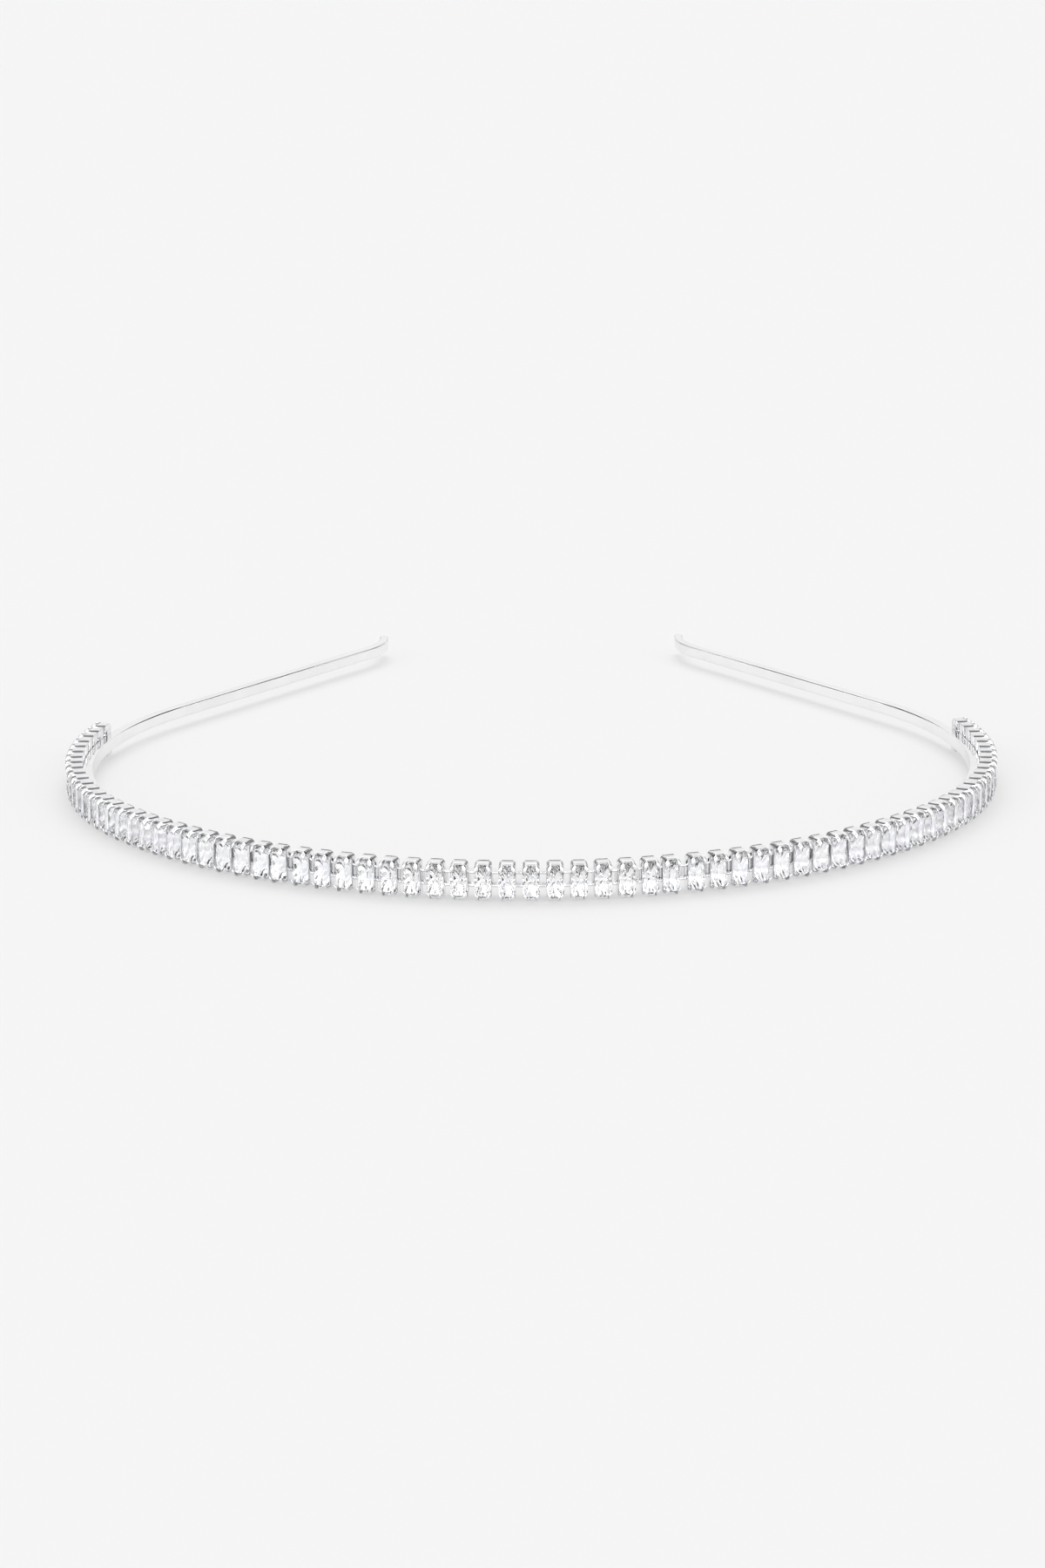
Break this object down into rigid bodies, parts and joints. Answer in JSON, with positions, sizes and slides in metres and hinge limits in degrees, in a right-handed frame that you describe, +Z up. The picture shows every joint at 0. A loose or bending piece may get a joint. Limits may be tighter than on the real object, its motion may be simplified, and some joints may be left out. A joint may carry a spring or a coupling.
{
  "type": "crystal headband",
  "caption": "Narrow U-shaped metal headband whose crown carries one row of baguette-cut clear stones in linked claw settings, with bare arms and flared, rounded tips.",
  "frame": {"origin": "on the surface that the headband lies on, under the middle of its bounding box", "axes": "+Z up, away from the surface, across the width of the stones; +Y from the crown towards the two tips; +X to the right, seen from the crown"},
  "size_m": [0.1244, 0.1325, 0.0045],
  "materials": {
    "band_metal": "polished silver plate on a spring steel strip",
    "setting_metal": "bright silver plate on thin brass",
    "crystal": "clear colourless cut stones with polished facets"
  },
  "bodies": {
    "root": {"band": "band_metal", "chain": "setting_metal", "stones": "crystal"}
  },
  "joints": []
}
